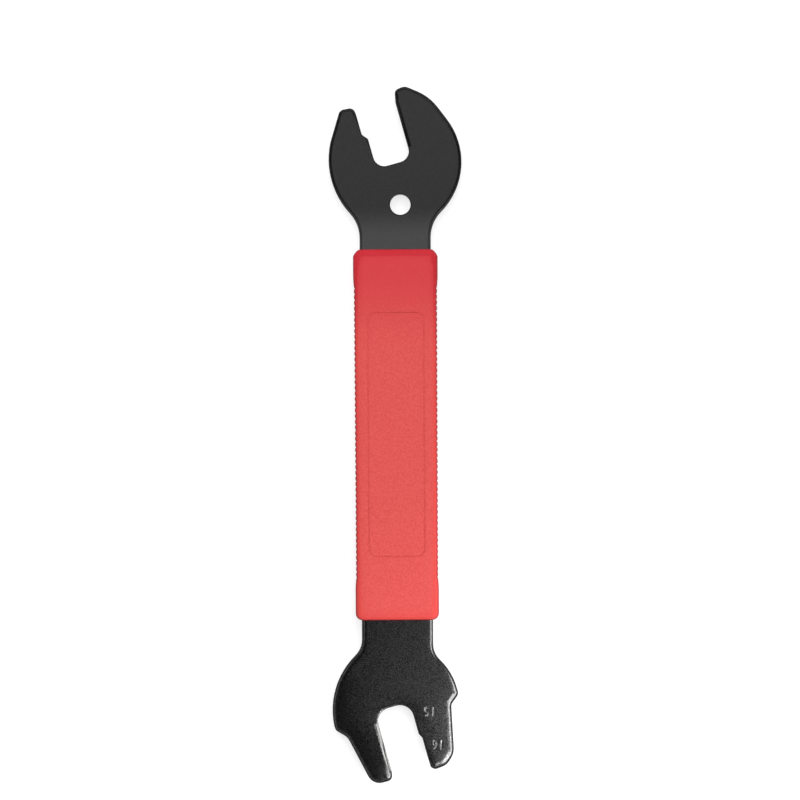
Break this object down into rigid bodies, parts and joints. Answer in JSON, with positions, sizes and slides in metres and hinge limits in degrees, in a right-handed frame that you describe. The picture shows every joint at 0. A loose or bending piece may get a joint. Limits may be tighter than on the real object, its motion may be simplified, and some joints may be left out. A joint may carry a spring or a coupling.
{
  "type": "pedal wrench",
  "caption": "Flat double-ended pedal wrench with stepped open jaws, a hanging hole and a moulded sleeve grip with ribbed sides.",
  "frame": {"origin": "middle of the flat back face of the sleeve, which the wrench lies on", "axes": "+Y along the wrench towards the head with the hanging hole, +Z out of the front face with the panel, +X to the right seen from the front"},
  "size_m": [0.0549, 0.2875, 0.011],
  "materials": {
    "blade": "black satin coating on steel, with a fine orange-peel texture",
    "sleeve": "red soft-touch moulding, finely textured"
  },
  "bodies": {
    "root": {"blade": "blade", "sleeve": "sleeve"}
  },
  "joints": []
}
